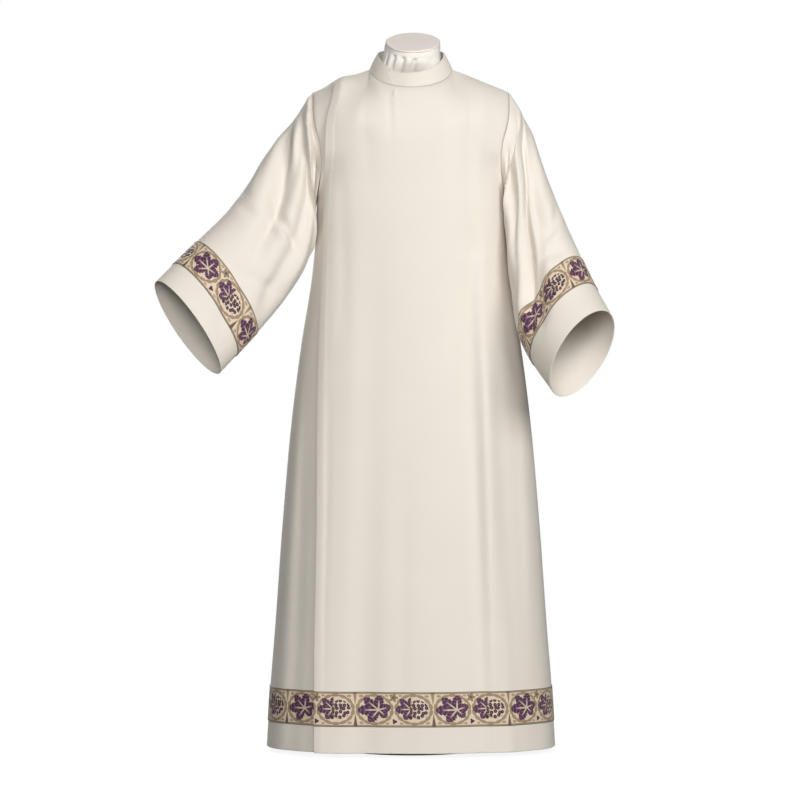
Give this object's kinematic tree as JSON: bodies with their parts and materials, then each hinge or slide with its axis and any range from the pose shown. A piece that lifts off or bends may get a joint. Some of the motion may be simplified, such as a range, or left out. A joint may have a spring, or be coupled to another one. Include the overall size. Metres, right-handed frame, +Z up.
{
  "type": "clergy robe on a dress form",
  "caption": "Ivory wrap-front priest's alb with wide sleeves and woven vine-leaf bands at hem and cuffs, hanging on a covered limbless dress form",
  "frame": {"origin": "middle of the base's underside, on the floor", "axes": "+Z up, the front faces -Y, +X is the viewer's right"},
  "size_m": [0.9885, 0.4676, 1.5673],
  "materials": {
    "ivory_cloth": "fine matt wool-blend weave, ivory",
    "woven_band": "woven galloon, purple leaves and gold scrolls on cream",
    "form_cover": "plain knitted cover, gathered at the neck",
    "form_cap": "satin painted cap",
    "stand_steel": "dark powder coat"
  },
  "bodies": {
    "root": {"front_over_panel": "ivory_cloth", "front_under_panel": "ivory_cloth", "back_panel": "ivory_cloth", "collar_band": "ivory_cloth", "sleeve_right_front": "ivory_cloth", "sleeve_right_back": "ivory_cloth", "sleeve_left_front": "ivory_cloth", "sleeve_left_back": "ivory_cloth", "hem_band_front_over": "woven_band", "hem_band_front_under": "woven_band", "hem_band_back": "woven_band", "cuff_band_right": "woven_band", "cuff_band_left": "woven_band", "form_torso": "form_cover", "form_neck_cap": "form_cap", "stand_pole": "stand_steel", "stand_base": "stand_steel"}
  },
  "joints": []
}
